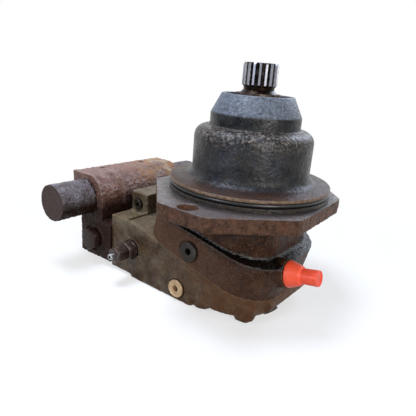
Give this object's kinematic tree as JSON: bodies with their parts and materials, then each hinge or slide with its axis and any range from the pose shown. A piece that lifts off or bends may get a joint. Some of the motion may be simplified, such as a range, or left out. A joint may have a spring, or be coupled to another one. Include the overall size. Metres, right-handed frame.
{
  "type": "bent-axis hydraulic travel motor with counterbalance valve",
  "caption": "Plug-in hydraulic travel motor of a track drive: stepped nose with splined shaft, octagonal two-hole flange, inclined port plate and a spool valve block on one end.",
  "frame": {"origin": "centre of the pilot spigot in the plane of the flange's mounting face, on the shaft axis", "axes": "+Z along the shaft towards its splined end; +Y along the line of the two flange holes and along the valve spool; +X away from the valve block"},
  "size_m": [0.3578, 0.268, 0.2803],
  "materials": {
    "housing_iron": "worn dark paint over rusty casting",
    "plate_iron": "oily casting",
    "valve_iron": "rusty casting",
    "machined_steel": "machined",
    "cap_steel": "turned, stained",
    "plated_steel": "dull zinc plating",
    "black_steel": "black oxide",
    "spring_steel": "oiled",
    "brass": "dull",
    "rubber": "matt",
    "orange_plastic": "moulded"
  },
  "bodies": {
    "housing": {"motor_housing": "housing_iron", "port_plate": "plate_iron", "valve_body": "valve_iron", "pilot_o_ring": "rubber", "joint_o_ring": "rubber", "port_plate_bolts": "black_steel", "valve_body_bolts": "black_steel", "valve_seal_rings": "rubber", "spool_cap_front": "cap_steel", "spool_cap_rear": "cap_steel", "spool_spring_front": "spring_steel", "spool_spring_rear": "spring_steel", "relief_cartridge_front": "plated_steel", "relief_cartridge_rear": "plated_steel", "drain_plug": "black_steel", "gauge_plug": "brass", "boss_plug": "black_steel", "end_plug": "black_steel", "plug_seal_rings": "rubber", "shaft_seal": "rubber", "seal_retaining_ring": "spring_steel", "front_bearing_outer_ring": "machined_steel", "rear_bearing_outer_ring": "machined_steel", "control_lens": "machined_steel", "stroking_piston": "machined_steel", "swivel_pin": "machined_steel", "stroke_bore_plug": "black_steel", "control_spring": "spring_steel"},
    "rotating_group": {"drive_shaft": "machined_steel", "shaft_nut": "machined_steel", "shaft_collar": "machined_steel", "front_bearing_inner_ring": "machined_steel", "rear_bearing_inner_ring": "machined_steel", "retaining_plate": "machined_steel", "retaining_plate_screws": "black_steel", "piston_1": "machined_steel", "piston_2": "machined_steel", "piston_3": "machined_steel", "piston_4": "machined_steel", "piston_5": "machined_steel", "piston_6": "machined_steel", "piston_7": "machined_steel", "piston_rings": "spring_steel", "centre_pin": "machined_steel", "centre_pin_spring": "spring_steel", "centre_spring_washer": "machined_steel", "block_retaining_ring": "spring_steel", "cylinder_block": "machined_steel"},
    "front_rollers": {"front_bearing_rollers": "machined_steel", "front_bearing_cage": "brass"},
    "rear_rollers": {"rear_bearing_rollers": "machined_steel", "rear_bearing_cage": "brass"},
    "valve_spool": {"valve_spool": "machined_steel", "spring_seat_front": "machined_steel", "spring_seat_rear": "machined_steel"},
    "control_spool": {"control_spool": "machined_steel"},
    "adjusting_screw": {"adjusting_screw": "plated_steel"},
    "lock_nut": {"adjusting_lock_nut": "plated_steel"},
    "shipping_plug": {"shipping_plug": "orange_plastic"}
  },
  "joints": [
    {"name": "shaft_spin", "type": "hinge", "parent": "housing", "child": "rotating_group", "pos_m": [0, 0, 0.13], "axis": [0, 0, 1], "continuous": true},
    {"name": "front_roller_orbit", "type": "hinge", "parent": "housing", "child": "front_rollers", "pos_m": [0, 0, 0.084], "axis": [0, 0, 1], "continuous": true},
    {"name": "rear_roller_orbit", "type": "hinge", "parent": "housing", "child": "rear_rollers", "pos_m": [0, 0, 0.0429], "axis": [0, 0, 1], "continuous": true},
    {"name": "spool_slide", "type": "slide", "parent": "housing", "child": "valve_spool", "axis": [0, 1, 0], "range_m": [-0.006, 0.006], "stiffness_N_per_m": 30000, "deforming": ["spool_spring_front", "spool_spring_rear"]},
    {"name": "control_spool_slide", "type": "slide", "parent": "housing", "child": "control_spool", "axis": [0, 1, 0], "range_m": [-0.004, 0], "stiffness_N_per_m": 6000, "deforming": ["control_spring"]},
    {"name": "adjusting_screw_turn", "type": "hinge", "parent": "housing", "child": "adjusting_screw", "pos_m": [-0.118, -0.1, -0.096], "axis": [0, 1, 0], "range_deg": [-360, 360]},
    {"name": "lock_nut_turn", "type": "hinge", "parent": "housing", "child": "lock_nut", "pos_m": [-0.118, -0.085, -0.096], "axis": [0, 1, 0], "range_deg": [-360, 360]},
    {"name": "shipping_plug_pull", "type": "slide", "parent": "housing", "child": "shipping_plug", "axis": [0.9799, 0, 0.1994], "range_m": [0, 0.03]}
  ],
  "couplings": [
    {"joint": "front_roller_orbit", "follows": "shaft_spin", "ratio": 0.4375},
    {"joint": "rear_roller_orbit", "follows": "shaft_spin", "ratio": 0.4296}
  ]
}
